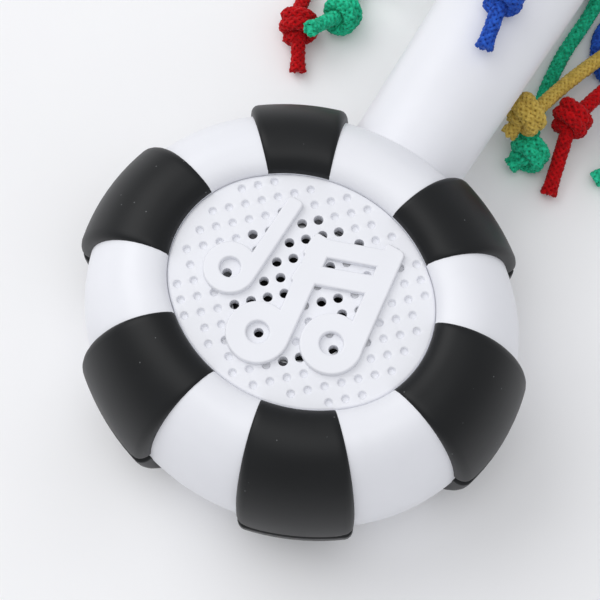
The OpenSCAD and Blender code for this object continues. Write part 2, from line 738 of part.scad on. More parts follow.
// Ball hub in two halves, crossed by the cord bores
module cord_bores() {
    for (b = BORES) translate([0, hub_y + b[0], 0]) rotate([0, 90 + b[1], 0])
        cylinder(r = cord_d / 2 + cord_clear, h = far, center = true);
}
module hub_ball(r) { translate([0, hub_y, 0]) sphere(r = r); }
module half_space(y0, y1) { translate([-far, y0, -far]) cube([2 * far, y1 - y0, 2 * far]); }
module hub_front_shell() {
    color("white") at_head() difference() {
        intersection() {
            hub_ball(hub_r);
            half_space(shoulder_y, hub_y);
        }
        intersection() {
            hub_ball(hub_r - hub_wall);
            half_space(shoulder_y + hub_wall, hub_y + 1);
        }
        along_y(shoulder_y - 1) cylinder(r = spigot_r + spigot_clear, h = hub_wall + 2);
        cord_bores();
    }
}
module hub_end_shell() {
    lip_r = hub_r - hub_wall - lip_clear;
    color("white") at_head() difference() {
        union() {
            intersection() {
                hub_ball(hub_r);
                half_space(hub_y, hub_y + hub_r + 1);
            }
            along_y(hub_y - lip_l) cylinder(r = lip_r - lip_clear, h = lip_l + fuse);
        }
        intersection() {
            hub_ball(hub_r - hub_wall);
            half_space(hub_y + lip_t, hub_y + hub_r);
        }
        along_y(hub_y - lip_l - 1) cylinder(r = lip_r - lip_clear - lip_t, h = lip_l + lip_t + 1 + fuse);
        cord_bores();
    }
}

// Round tube swept along points, its rings square to the route
function unit(v) = v / norm(v);
function heading(path, i) = unit(path[min(i + 1, len(path) - 1)] - path[max(i - 1, 0)]);
function side_of(d) = unit(cross(d, abs(d[2]) > 0.8 ? [0, 1, 0] : [0, 0, 1]));
function tube_points(path, r, n) = [
    for (i = [0:len(path) - 1])
        let (d = heading(path, i), s = side_of(d), t = cross(s, d))
        for (k = [0:n - 1]) path[i] + r * (cos(360 * k / n) * s + sin(360 * k / n) * t)
];
function tube_faces(rings, n) = concat(
    [[for (k = [0:n - 1]) k]],
    [
        for (i = [0:rings - 2], k = [0:n - 1])
            let (a = i * n + k, b = i * n + (k + 1) % n)
            each [[a, a + n, b], [b, a + n, b + n]]
    ],
    [[for (k = [n - 1:-1:0]) (rings - 1) * n + k]]
);
module tube(path, r, n = 8) { polyhedron(tube_points(path, r, n), tube_faces(len(path), n)); }

// Start of a cord: the middle of its bore and its mouth on the ball, from the table
function bore_axis(b) = [0, hub_y + b[0], -table_z];
function bore_way(b, side) = side * [cos(b[1]), 0, -sin(b[1])];
function bore_mouth(b, side) = bore_axis(b) + sqrt(pow(hub_r, 2) - pow(b[0], 2)) * bore_way(b, side);
function bore_start(b, side) = bore_axis(b) + pad_seam * bore_way(b, side);
module cord(b, side, route) {
    at_table() tube(concat([bore_start(b, side), bore_mouth(b, side)], route), cord_d / 2);
}
module knots(list) {
    at_table() for (k = list) {
        tail = k[1] - k[0];
        translate(k[0]) {
            sphere(r = knot_r);
            rotate([0, acos(tail[2] / norm(tail)), atan2(tail[1], tail[0])])
                cylinder(d = cord_d, h = norm(tail));
        }
    }
}

// Thin insulated wires inside the head
wire_r = 0.5;
wire_gap = 1.6;
module wire_pair(path) { for (s = [-1, 1]) tube([for (p = path) p + [0, s * wire_gap / 2, 0]], wire_r); }
module speaker_wires() {
    x = speaker_r - gasket_w;
    color("crimson") at_head() wire_pair([[x - 1, 0, basket_z + basket_h - 1.2], [x + 2.5, 0, basket_z + 1],
        [x + 4, 0, board_z + board_t + 3], [x + 4, 0, board_z + board_t + pad_clear]]);
}
module battery_wires() {
    x = trough_l / 2 + trough_t;
    color("crimson") at_head() for (s = [-1, 1]) tube([
        [s * (x + pad_clear), 0, cell_z], [s * (x + wire_gap), 0, cell_z],
        [s * (x + wire_gap), 0, board_z - wire_gap], [s * (x + wire_gap), 0, board_z - pad_clear]
    ], wire_r);
}

module red_cord_right() { color("crimson") cord(red_bore, 1, red_right_route); }
module red_cord_left() { color("crimson") cord(red_bore, -1, red_left_route); }
module red_cord_knots() { color("crimson") knots(red_knots); }
module blue_cord_low() { color("royalblue") cord(blue_bore, 1, blue_low_route); }
module blue_cord_top() { color("royalblue") cord(blue_bore, -1, blue_top_route); }
module blue_cord_knots() { color("royalblue") knots(blue_knots); }
module yellow_cord_right() { color("gold") cord(yellow_bore, 1, yellow_right_route); }
module yellow_cord_left() { color("gold") cord(yellow_bore, -1, yellow_left_route); }
module yellow_cord_knots() { color("gold") knots(yellow_knots); }
module green_cord_right() { color("seagreen") cord(green_bore, 1, green_right_route); }
module green_cord_left() { color("seagreen") cord(green_bore, -1, green_left_route); }
module green_cord_knots() { color("seagreen") knots(green_knots); }
module mint_cord_right() { color("mediumseagreen") cord(mint_bore, 1, mint_right_route); }
module mint_cord_left() { color("mediumseagreen") cord(mint_bore, -1, mint_left_route); }
module mint_cord_knots() { color("mediumseagreen") knots(mint_knots); }

head_front_shell();
head_rear_shell();
speaker_grille();
for (k = BUMPERS) front_pad(k);
for (k = BUMPERS) rear_pad(k);
speaker_gasket();
speaker_frame();
speaker_cone();
speaker_magnet();
speaker_wires();
circuit_board();
sound_chip();
board_screws();
shake_sensor_can();
shake_sensor_base();
shake_sensor_ball();
battery_cells();
battery_contact_plate();
battery_contact_spring();
battery_wires();
battery_door();
door_screws();
power_switch_body();
power_switch_knob();
shell_screws();
handle_tube();
handle_plug();
for (k = BEADS) rattle_bead(k);
hub_front_shell();
hub_end_shell();
red_cord_right();
red_cord_left();
red_cord_knots();
blue_cord_low();
blue_cord_top();
blue_cord_knots();
yellow_cord_right();
yellow_cord_left();
yellow_cord_knots();
green_cord_right();
green_cord_left();
green_cord_knots();
mint_cord_right();
mint_cord_left();
mint_cord_knots();
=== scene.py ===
"""Musical shaker for small hands: an oval music head with soft bumpers, a handle, a ball hub and pull cords.

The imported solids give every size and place. This script dresses them: rounded bumpers, a moulded grille,
braided cords with tied knots, crossed screw heads, a ridged switch knob, and a finish for each material.
"""
import bisect
import json
import math

import bmesh
import bpy
from mathutils import Matrix, Vector


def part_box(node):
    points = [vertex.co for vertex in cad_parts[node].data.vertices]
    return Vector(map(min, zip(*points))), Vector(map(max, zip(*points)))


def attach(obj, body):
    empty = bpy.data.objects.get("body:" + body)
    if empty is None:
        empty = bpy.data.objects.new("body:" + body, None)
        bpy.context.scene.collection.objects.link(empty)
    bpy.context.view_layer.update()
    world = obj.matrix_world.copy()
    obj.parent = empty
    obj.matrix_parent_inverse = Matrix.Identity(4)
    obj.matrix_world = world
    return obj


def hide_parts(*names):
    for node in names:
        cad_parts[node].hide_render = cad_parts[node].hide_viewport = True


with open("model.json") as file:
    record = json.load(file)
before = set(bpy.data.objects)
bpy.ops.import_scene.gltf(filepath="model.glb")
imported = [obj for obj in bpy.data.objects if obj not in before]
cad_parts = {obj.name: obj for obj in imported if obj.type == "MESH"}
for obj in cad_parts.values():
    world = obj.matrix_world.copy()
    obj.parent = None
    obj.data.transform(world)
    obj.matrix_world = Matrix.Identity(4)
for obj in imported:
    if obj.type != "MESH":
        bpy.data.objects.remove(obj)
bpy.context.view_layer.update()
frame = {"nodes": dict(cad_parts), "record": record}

scene = bpy.context.scene
scene.view_settings.view_transform = "Standard"

MM = 0.001

# Places taken from the frame, in millimetres: the head's middle along Y, the height of the plane where its
# shells meet, and the hub's middle along Y from the head's
grille_low, grille_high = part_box("speaker_grille")
HEAD_Y = (grille_low.y + grille_high.y) / 2 / MM
PARTING_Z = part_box("head_rear_shell")[1].z / MM
HUB_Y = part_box("hub_front_shell")[1].y / MM - HEAD_Y
# The ball of the hub has its middle on that plane and touches the table
HUB_R = PARTING_Z

# Head sizes, as in the part's source: half the grille opening across and along the handle, then the ring's
# width, its crest's distance from the opening and its crest's height above the parting plane
DISC_A = 23
DISC_B = 19.6
RING_W = 15.3
CREST_IN = 4.3
HALF_H = 19.7
# Height of the grille's face above the parting plane
SEAT_Z = 17.2
# How far a bumper stands proud at the crest and at the parting plane
PAD_TOP = 0.5
PAD_SIDE = 2.3
# The grille opening is an oval of four arcs: their centres' distance from the middle, and their radii
OVAL_C = (DISC_A - DISC_B) / (2 - math.sqrt(2))
END_R = DISC_A - OVAL_C
SIDE_R = DISC_B + OVAL_C


def place(x, y, z):
    """A point given in millimetres from the head's middle and the table, in the frame's metres."""
    return Vector((x, y + HEAD_Y, z)) * MM


# Camera: the photograph's place, aimed at the grille
CAMERA_AT = place(46.7, -75.3, 310.3)
CAMERA_AIM = place(0.8, -1.6, 37)
LENS_MM = 105
SENSOR_MM = 36
NEAREST_MM = 10

camera_data = bpy.data.cameras.new("camera")
camera_data.lens = LENS_MM
camera_data.sensor_width = SENSOR_MM
camera_data.clip_start = NEAREST_MM * MM
camera = bpy.data.objects.new("camera", camera_data)
camera.location = CAMERA_AT
camera.rotation_euler = (CAMERA_AIM - CAMERA_AT).to_track_quat("-Z", "Y").to_euler()
scene.collection.objects.link(camera)
scene.camera = camera


# Materials

def hex_colour(text):
    """An sRGB hex colour as linear RGBA."""
    channels = [int(text[i:i + 2], 16) / 255 for i in (1, 3, 5)]
    return [c / 12.92 if c <= 0.04045 else ((c + 0.055) / 1.055) ** 2.4 for c in channels] + [1]


def add_node(tree, kind, inputs=None, **settings):
    """Adds a node with its settings; an input is a value or another node's output."""
    node = tree.nodes.new(kind)
    for name, value in settings.items():
        setattr(node, name, value)
    for socket, value in (inputs or {}).items():
        if isinstance(value, bpy.types.NodeSocket):
            tree.links.new(value, node.inputs[socket])
        else:
            node.inputs[socket].default_value = value
    return node


def new_material(name, **shader_values):
    """A material with its tree, its Principled shader and its Object coordinates."""
    material = bpy.data.materials.new(name)
    material.use_nodes = True
    tree = material.node_tree
    shader = tree.nodes["Principled BSDF"]
    for socket, value in shader_values.items():
        shader.inputs[socket.replace("_", " ")].default_value = value
    coordinates = add_node(tree, "ShaderNodeTexCoord")
    return material, tree, shader, coordinates.outputs["Object"]


def feature_scale(size_mm):
    """Texture scale at which one feature has that size."""
    return 1 / (size_mm * MM)


# Where the drift's darker tone ends and its lighter one starts
DRIFT_STOPS = (0.35, 0.65)


def mottled(tree, shader, where, light, dark, patch_mm, rough, grain_mm, grain_depth_mm, bump):
    """Colour that drifts between two tones, roughness between two values, and a fine moulded grain."""
    drift = add_node(tree, "ShaderNodeTexNoise", {
        "Vector": where, "Scale": feature_scale(patch_mm), "Detail": 3})
    ramp = add_node(tree, "ShaderNodeValToRGB", {"Fac": drift.outputs["Fac"]})
    for stop, position, tone in zip(ramp.color_ramp.elements, DRIFT_STOPS, (dark, light)):
        stop.position = position
        stop.color = hex_colour(tone)
    tree.links.new(ramp.outputs["Color"], shader.inputs["Base Color"])
    roughness = add_node(tree, "ShaderNodeMapRange", {
        "Value": drift.outputs["Fac"], "To Min": rough[0], "To Max": rough[1]})
    tree.links.new(roughness.outputs["Result"], shader.inputs["Roughness"])
    grain = add_node(tree, "ShaderNodeTexNoise", {
        "Vector": where, "Scale": feature_scale(grain_mm), "Detail": 2})
    relief = add_node(tree, "ShaderNodeBump", {
        "Height": grain.outputs["Fac"], "Strength": bump, "Distance": grain_depth_mm * MM})
    tree.links.new(relief.outputs["Normal"], shader.inputs["Normal"])
    return ramp


MATERIALS = {}

# ABS, moulded in a lightly etched tool: a cool white with a soft, even gloss. The grain is drawn coarser than
# the tool's, so that it shows
white_abs, tree, shader, where = new_material("white_moulded_abs", IOR=1.53)
mottled(tree, shader, where, "#ebecf1", "#e8e9ee", patch_mm=14, rough=(0.36, 0.44),
        grain_mm=0.5, grain_depth_mm=0.02, bump=0.12)
MATERIALS["white_plastic"] = white_abs

# Soft rubber over-moulding: near black, dull, with a fine grain and a little dust. Both are drawn coarser
# than the real ones, so that they show
black_rubber, tree, shader, where = new_material("black_soft_rubber", IOR=1.36)
bare_rubber = mottled(tree, shader, where, "#0f1113", "#0b0d0f", patch_mm=9, rough=(0.42, 0.5),
                      grain_mm=0.35, grain_depth_mm=0.02, bump=0.12)
# A speck is solid out to the first share of its cell, gone at the second, and hides part of the rubber
DUST_CELL_MM = 2.6
DUST_SHARES = (0.03, 0.05)
DUST_COVER = 0.5
specks = add_node(tree, "ShaderNodeTexVoronoi", {"Vector": where, "Scale": feature_scale(DUST_CELL_MM)})
dust = add_node(tree, "ShaderNodeMapRange", {
    "Value": specks.outputs["Distance"], "From Min": DUST_SHARES[0], "From Max": DUST_SHARES[1],
    "To Min": DUST_COVER, "To Max": 0})
# A mix of colours has its factor at input 0, its colours at inputs 6 and 7, and its result at output 2
dusty = add_node(tree, "ShaderNodeMix", {
    0: dust.outputs["Result"], 6: bare_rubber.outputs["Color"], 7: hex_colour("#8d9092")}, data_type="RGBA")
tree.links.new(dusty.outputs[2], shader.inputs["Base Color"])
MATERIALS["black_rubber"] = black_rubber

# Finishes of the inner pieces, by slot: material, light and dark tone, roughness, and 1 for a metal
INNER_FINISHES = {
    # Foam cut from sheet: mid grey and quite dull
    "grey_foam": ("closed_cell_foam", "#5c5c5e", "#505052", (0.8, 0.9), 0),
    # Steel pressed from plated sheet: pale, with a satin shine
    "pressed_steel": ("plated_steel", "#c9cacc", "#b4b5b8", (0.28, 0.4), 1),
    # Paper pulp pressed to a cone: charcoal, dull
    "speaker_paper": ("pressed_paper", "#2a2a2b", "#1e1e1f", (0.75, 0.85), 0),
    # Ferrite in a plated cup: dark grey metal with a dim shine
    "magnet_iron": ("plated_ferrite", "#6f7072", "#5c5d60", (0.4, 0.5), 1),
    # Glass-fibre board under solder lacquer: deep green with an even gloss
    "circuit_green": ("lacquered_board", "#1f6b41", "#1c643e", (0.35, 0.45), 0),
    # ABS from a polished tool: black with a clear gloss
    "black_plastic": ("black_moulded_abs", "#1d1d1f", "#151517", (0.3, 0.4), 0),
    # Brass, turned and polished: warm yellow, bright
    "brass": ("polished_brass", "#d9b45c", "#c79f48", (0.2, 0.3), 1),
    # Vinyl sleeve over copper: plain red, half gloss
    "wire_sleeve": ("insulated_wire", "#b8262a", "#a51f24", (0.4, 0.5), 0),
    # Polystyrene beads: bright orange and shiny
    "bead_plastic": ("moulded_beads", "#ef9a35", "#e58b28", (0.2, 0.3), 0),
}
for slot, (kind, light, dark, rough, metallic) in INNER_FINISHES.items():
    finish, tree, shader, where = new_material(kind, Metallic=metallic)
    mottled(tree, shader, where, light, dark, patch_mm=3, rough=rough,
            grain_mm=0.3, grain_depth_mm=0.01, bump=0.15)
    MATERIALS[slot] = finish

# Braided polyester cord: dull fibres with a faint sheen, in a light and a dark tone for each colour
CORD_TONES = {
    "red": ("#c8060f", "#9c020a"),
    "blue": ("#2d62cc", "#1b3f98"),
    "yellow": ("#d8bb5e", "#b89b46"),
    "green": ("#2ad0a0", "#12986f"),
    "mint": ("#33d3a6", "#18a980"),
}
for colour, (light, dark) in CORD_TONES.items():
    polyester, tree, shader, where = new_material(
        colour + "_braided_cord", IOR=1.25, Sheen_Weight=0.06, Sheen_Roughness=0.5)
    mottled(tree, shader, where, light, dark, patch_mm=0.8, rough=(0.7, 0.85),
            grain_mm=0.12, grain_depth_mm=0.05, bump=0.5)
    MATERIALS[colour + "_cord"] = polyester

SLOT_OF = {row["node"]: row["material_slot"] for row in frame["record"]["subparts"]}
for name, node in frame["nodes"].items():
    node.material_slots[0].material = MATERIALS[SLOT_OF[name]]


# Pieces

# Corners of loose triangles this near are one corner, and points this near a plane are on it, in millimetres
ON_CORNER = 0.001
ON_PLANE = 0.001
# Faces that turn less than this are one flat face, in radians
FLAT_TURN = 0.01


def merged_copy(node_name):
    """A copy of a CAD node's mesh in its place, its loose triangles joined."""
    node = frame["nodes"][node_name]
    bm = bmesh.new()
    bm.from_mesh(node.data)
    bm.transform(node.matrix_world)
    bmesh.ops.remove_doubles(bm, verts=bm.verts, dist=ON_CORNER * MM)
    return bm


def round_edges(bm, edges, radius, segments):
    """Rounds the edges off."""
    bmesh.ops.bevel(bm, geom=edges, offset=radius, segments=segments, profile=0.5,
                    affect="EDGES", material=-1)


def cut_across(bm, at, normal, **options):
    """Cuts a mesh where it crosses a plane."""
    bmesh.ops.bisect_plane(bm, geom=bm.verts[:] + bm.edges[:] + bm.faces[:],
                           plane_co=at, plane_no=normal, **options)


def edges_of(parts):
    """The edges of some faces, or at some corners, each of them once."""
    edge_lists = [p.edges if isinstance(p, bmesh.types.BMFace) else p.link_edges for p in parts]
    return list(dict.fromkeys(e for edges in edge_lists for e in edges))


def shade(mesh, sharp_degrees):
    """Smooth shading, kept sharp along edges that turn more than the angle, without a CAD copy's normals."""
    if "custom_normal" in mesh.attributes:
        mesh.attributes.remove(mesh.attributes["custom_normal"])
    mesh.shade_smooth()
    mesh.set_sharp_from_angle(angle=math.radians(sharp_degrees))


def piece(name, mesh, slot, nodes, body="toy", sharp_degrees=35):
    """A finished mesh as a piece of the toy, in place of its CAD nodes."""
    shade(mesh, sharp_degrees)
    mesh.materials.append(MATERIALS[slot])
    obj = bpy.data.objects.new(name, mesh)
    scene.collection.objects.link(obj)
    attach(obj, body)
    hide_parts(*nodes)
    return obj


def solid_piece(name, bm, slot, nodes, body="toy"):
    """A piece from a bmesh, with its faces turned outwards."""
    bmesh.ops.recalc_face_normals(bm, faces=bm.faces)
    mesh = bpy.data.meshes.new(name)
    bm.to_mesh(mesh)
    bm.free()
    return piece(name, mesh, slot, nodes, body)


def keep_flats_flat(obj):
    """Lets large faces lead the shading, so that they stay even beside their rounded edges."""
    obj.modifiers.new("even_normals", "WEIGHTED_NORMAL").keep_sharp = True


# Cords: each crosses the hub in a bore, then follows its route to a knot
CORD_D = 3
KNOT_R = 4
# Each bore's distance from the hub's middle along Y, and its slope in degrees
BORES = {"green": (-10.5, 55), "blue": (-5.5, 52), "red": (4, 10), "yellow": (8.5, 30), "mint": (13, 0)}
# The two ends of a cord start this far from the bore's middle
CORD_START = 0.1
ROUTES = {
    "red_right": [(25, 106, 14), (29, 100, 9), (28.5, 92, 5.5), (26, 83, 5.2), (22.7, 73, 6.2),
                  (21.2, 67.4, 6.4)],
    "red_left": [(-25, 106.5, 24), (-32, 103, 20), (-36.5, 96, 10), (-38, 88, 2.5), (-38.5, 77, 1.5),
                 (-38, 66, 1.5), (-36.3, 57.3, 3)],
    "blue_low": [(15, 96, 2), (16, 90, 1.5), (16, 84, 1.5), (19, 78.5, 1.5), (24.5, 76.6, 1.6),
                 (27.2, 75.8, 2.9)],
    "blue_top": [(-14.5, 97, 38), (-13.5, 93, 42.5), (-9.5, 87, 44), (-5, 80, 41), (-1, 73, 36.5),
                 (0.7, 68.5, 35.1)],
    "yellow_right": [(21, 111.5, 7.6), (26.5, 108, 3.2), (27, 100, 1.5), (24, 92, 1.6), (21.5, 86, 3),
                     (18.8, 79, 5.2), (16, 70, 7), (14.2, 61.7, 9.2)],
    "yellow_left": [(-20.5, 112, 31), (-27, 113.5, 29), (-32, 116, 19), (-34.5, 119, 7), (-34, 123.5, 1.8),
                    (-30, 127.5, 1.5), (-26.4, 129.3, 2.8)],
    "green_right": [(11.6, 91.5, 2.6), (12, 86, 1.5), (11.8, 78, 1.5), (12.5, 70, 1.5), (14, 62.5, 1.5),
                    (15.4, 58.2, 2.6)],
    "green_left": [(-12.5, 92, 37), (-18, 88.5, 38), (-24, 82.5, 30), (-28, 77, 15), (-29.5, 72, 4.5),
                   (-29.4, 68.3, 1.9), (-29, 64.6, 3.1)],
    "mint_right": [(21, 116.5, 19.6), (29, 114.5, 15.5), (35, 109, 6.5), (37.5, 101, 1.7), (37.5, 90, 1.5),
                   (37, 80, 1.5), (36, 72, 1.5), (34.7, 67.5, 2.8)],
    "mint_left": [(-21, 116, 18.8), (-27.5, 113, 11), (-31, 108, 3), (-32.5, 101, 1.5), (-31, 94, 1.5),
                  (-29.1, 90.6, 2.8)],
}
# Middle of each knot and the end of its tail
KNOTS = {
    "red_right": [(20.2, 63.9, 6.6), (23.6, 50.5, 1.5)],
    "red_left": [(-34.3, 54.3, KNOT_R), (-30, 47, 1.5)],
    "blue_low": [(30.5, 74.6, KNOT_R), (28, 68, 1.5)],
    "blue_top": [(1.2, 64.9, 35.5), (3, 55.5, 33)],
    "yellow_right": [(13.1, 58.4, 10.6), (11.6, 54.8, 7)],
    "yellow_left": [(-23, 130.5, KNOT_R), (-16, 130.5, 1.5)],
    "green_right": [(16.5, 54.9, KNOT_R), (14.6, 51.4, 2.2)],
    "green_left": [(-28.6, 60.9, KNOT_R), (-30.7, 52.5, 9.6)],
    "mint_right": [(33.5, 64.2, KNOT_R), (29.5, 57.6, 1.5)],
    "mint_left": [(-28, 87.2, KNOT_R), (-24, 81, 1.5)],
}
# Even step along a path, steps of its spline between two points, and points to one in the cord's row
LENGTH_STEP = 0.25
SPLINE_STEPS = 24
# The braid: strands that wind both ways round a core, at a radius that waves in and out
STRAND_R = 0.4
STRANDS_EACH_WAY = 6
BRAID_R = 1
BRAID_WAVE = 0.12
BRAID_PITCH = 6.9
CORE_R = 1.1
# A strand has four sides that are shaded as one round, so only sharper turns than theirs show
STRAND_SHARP_DEGREES = 100
# A tail's strands spread by this much over this length at its end
FRAY = 0.3
FRAY_LENGTH = 2
# A knot's wraps, the points that draw them, and half their length along its axis
KNOT_WRAPS = 1.8
KNOT_POINTS = 14
KNOT_HALF = 1.7
# Distances from a knot's middle: where the cord turns into the wraps, where it passes back under them and how
# far aside, and where the tail starts
KNOT_ENTRY = 1.2
KNOT_BACK = 0.6
KNOT_ASIDE = 0.2
TAIL_START = 3.4
# Share of the way to the tail's end up to which it runs straight
TAIL_STRAIGHT = 0.7


def smooth_path(points):
    """An even path through the points, on a Catmull-Rom spline, in millimetres."""
    ends = [2 * points[0] - points[1]] + points + [2 * points[-1] - points[-2]]
    dense = []
    for a, b, c, d in zip(ends, ends[1:], ends[2:], ends[3:]):
        for i in range(SPLINE_STEPS):
            t = i / SPLINE_STEPS
            dense.append(0.5 * (2 * b + (c - a) * t + (2 * a - 5 * b + 4 * c - d) * t * t
                                + (3 * b - a - 3 * c + d) * t ** 3))
    dense.append(points[-1])
    path = [dense[0]]
    left = LENGTH_STEP
    for a, b in zip(dense, dense[1:]):
        while (b - a).length >= left:
            a = a + (b - a).normalized() * left
            path.append(a)
            left = LENGTH_STEP
        left -= (b - a).length
    return path


def frames_along(path):
    """A side and an up direction at each point, carried along without twist."""
    frames = []
    side = (path[1] - path[0]).orthogonal()
    for before, after in zip(path[:1] + path, path[1:] + path[-1:]):
        ahead = (after - before).normalized()
        side = (side - ahead * side.dot(ahead)).normalized()
        frames.append((side, ahead.cross(side)))
    return frames


def braid(name, path, fray=0):
    """Two sets of strands wound opposite ways over and under each other, round a core, as one mesh."""
    curve = bpy.data.curves.new(name, "CURVE")
    curve.dimensions = "3D"
    curve.bevel_depth = STRAND_R * MM
    curve.bevel_resolution = 0
    curve.use_fill_caps = True
    frames = frames_along(path)
    strands = [(way, start) for way in (1, -1) for start in range(STRANDS_EACH_WAY)]
    core = (0, 0)
    for way, start in strands + [core]:
        spline = curve.splines.new("POLY")
        spline.points.add(len(path) - 1)
        for i, (point, (side, up)) in enumerate(zip(path, frames)):
            wind = math.tau * i * LENGTH_STEP / BRAID_PITCH
            to_end = (len(path) - 1 - i) * LENGTH_STEP
            loose = fray * max(0, 1 - to_end / FRAY_LENGTH)
            weave = way * BRAID_WAVE * math.cos(STRANDS_EACH_WAY * wind)
            radius = (BRAID_R + weave + loose) * abs(way)
            angle = way * wind + math.tau * start / STRANDS_EACH_WAY
            at = point + side * math.cos(angle) * radius + up * math.sin(angle) * radius
            spline.points[i].co = (*(at * MM), 1)
            spline.points[i].radius = 1 if way else CORE_R / STRAND_R
    temp = bpy.data.objects.new(name, curve)
    scene.collection.objects.link(temp)
    mesh = bpy.data.meshes.new_from_object(temp.evaluated_get(bpy.context.evaluated_depsgraph_get()))
    bpy.data.objects.remove(temp)
    bpy.data.curves.remove(curve)
    mesh.name = name
    return mesh


def from_origin(point):
    """A route point in millimetres, moved from the head's middle to the frame's origin."""
    return Vector(point) + Vector((0, HEAD_Y, 0))


def tied_knot(entry, middle, tail_end):
    """Points of a knot: into the middle, wraps round itself, and out along the tail."""
    inward = (middle - entry).normalized()
    outward = (tail_end - middle).normalized()
    axis = (inward + outward).normalized()
    side = axis.orthogonal().normalized()
    up = axis.cross(side)
    points = [entry, middle + axis * KNOT_ENTRY]
    for i in range(KNOT_POINTS + 1):
        angle = math.tau * KNOT_WRAPS * i / KNOT_POINTS
        along = KNOT_HALF * (1 - 2 * i / KNOT_POINTS)
        around = side * math.cos(angle) + up * math.sin(angle)
        points.append(middle + axis * along + around * (KNOT_R - CORD_D / 2))
    points.append(middle - axis * KNOT_BACK + outward * KNOT_ASIDE)
    points.append(middle + outward * TAIL_START)
    points.append(middle + (tail_end - middle) * TAIL_STRAIGHT)
    points.append(tail_end)
    return points


def cord_piece(name, path, colour, node, fray=0):
    """A braid along a path, as a piece."""
    return piece(name, braid(name, path, fray), colour + "_cord", [node], sharp_degrees=STRAND_SHARP_DEGREES)


for name, route in ROUTES.items():
    colour, end = name.split("_")
    offset, slope = BORES[colour]
    way = 1 if end in ("right", "low") else -1
    turn = math.radians(slope)
    axis_point = Vector((0, HUB_Y + offset + HEAD_Y, PARTING_Z))
    outward = way * Vector((math.cos(turn), 0, -math.sin(turn)))
    mouth = axis_point + outward * math.sqrt(HUB_R ** 2 - offset ** 2)
    path = smooth_path([axis_point + outward * CORD_START, mouth] + [from_origin(p) for p in route])
    cord = cord_piece(name + "_cord", path, colour, f"{colour}_cord_{end}")
    middle, tail_end = (from_origin(p) for p in KNOTS[name])
    knot_path = smooth_path(tied_knot(path[-1], middle, tail_end))
    knot = cord_piece(name + "_knot", knot_path, colour, f"{colour}_cord_knots", FRAY)


# Bumpers: rounded slabs wrapped over the ring

def ring_point(turn, lift):
    """Distance out and height on the ring's section, lifted by a share of a bumper's thickness.

    The turn is 0 at the grille, 1 at the crest and 2 at the parting plane.
    """
    angle = math.pi / 2 * (turn if turn < 1 else turn - 1)
    top = HALF_H + PAD_TOP * lift
    if turn < 1:
        return CREST_IN * (1 - math.cos(angle)), SEAT_Z + (top - SEAT_Z) * math.sin(angle)
    return CREST_IN + (RING_W + PAD_SIDE * lift - CREST_IN) * math.sin(angle), top * math.cos(angle)


# Length along the bare ring's section at each of many even turns
SECTION_STEPS = 200
section = [ring_point(2 * i / SECTION_STEPS, 0) for i in range(SECTION_STEPS + 1)]
SECTION_LENGTHS = [0]
for a, b in zip(section, section[1:]):
    SECTION_LENGTHS.append(SECTION_LENGTHS[-1] + math.dist(a, b))


def turn_at(length):
    """Turn on the ring's section at a length along it."""
    i = min(bisect.bisect_right(SECTION_LENGTHS, length), SECTION_STEPS) - 1
    part = (length - SECTION_LENGTHS[i]) / (SECTION_LENGTHS[i + 1] - SECTION_LENGTHS[i])
    return 2 * (i + part) / SECTION_STEPS


def towards_end(x, y):
    """Whether a point seen from the head's middle lies towards an end arc of the oval, not a side arc."""
    return abs(x) * DISC_B > abs(y) * DISC_A


def from_middle(angle, out, on_end):
    """Distance from the head's middle at a polar angle, for a distance out of the grille's edge."""
    ahead = Vector((math.cos(angle), math.sin(angle)))
    if on_end:
        centre = Vector((math.copysign(OVAL_C, ahead.x), 0))
        radius = END_R + out
    else:
        centre = Vector((0, -math.copysign(OVAL_C, ahead.y)))
        radius = SIDE_R + out
    along = ahead.dot(centre)
    return along + math.sqrt(radius ** 2 - centre.length_squared + along ** 2)


PADS = 6
# The bumpers over the oval's ends, and those beside the handle, going round the head
END_PADS = (1, 4)
PAD_BEFORE_HANDLE = 2
PAD_AFTER_HANDLE = 3
# The flat slab's width, before it is bent, and its cuts along and across
PAD_W = 10
CUTS_ALONG = 30
CUTS_ACROSS = 12
# Share of its thickness that sinks into the shell
PAD_SINK = 0.1
# How far along the section it starts from the grille's edge, and stops short of the parting plane
PAD_START = 0.1
PAD_SEAM = 0.12
# Half of the angle that it spans at the grille, at the parting plane, and on the side that faces the handle
PAD_INNER_ANGLE = math.radians(17)
PAD_OUTER_ANGLE = math.radians(15.6)
PAD_HANDLE_ANGLE = math.radians(11.8)
# Rounds of its two outer corners, front and rear, and of its top edges, while it is flat
FRONT_CORNER = 2.2
REAR_CORNER = 0.8
PAD_EDGE = 0.85


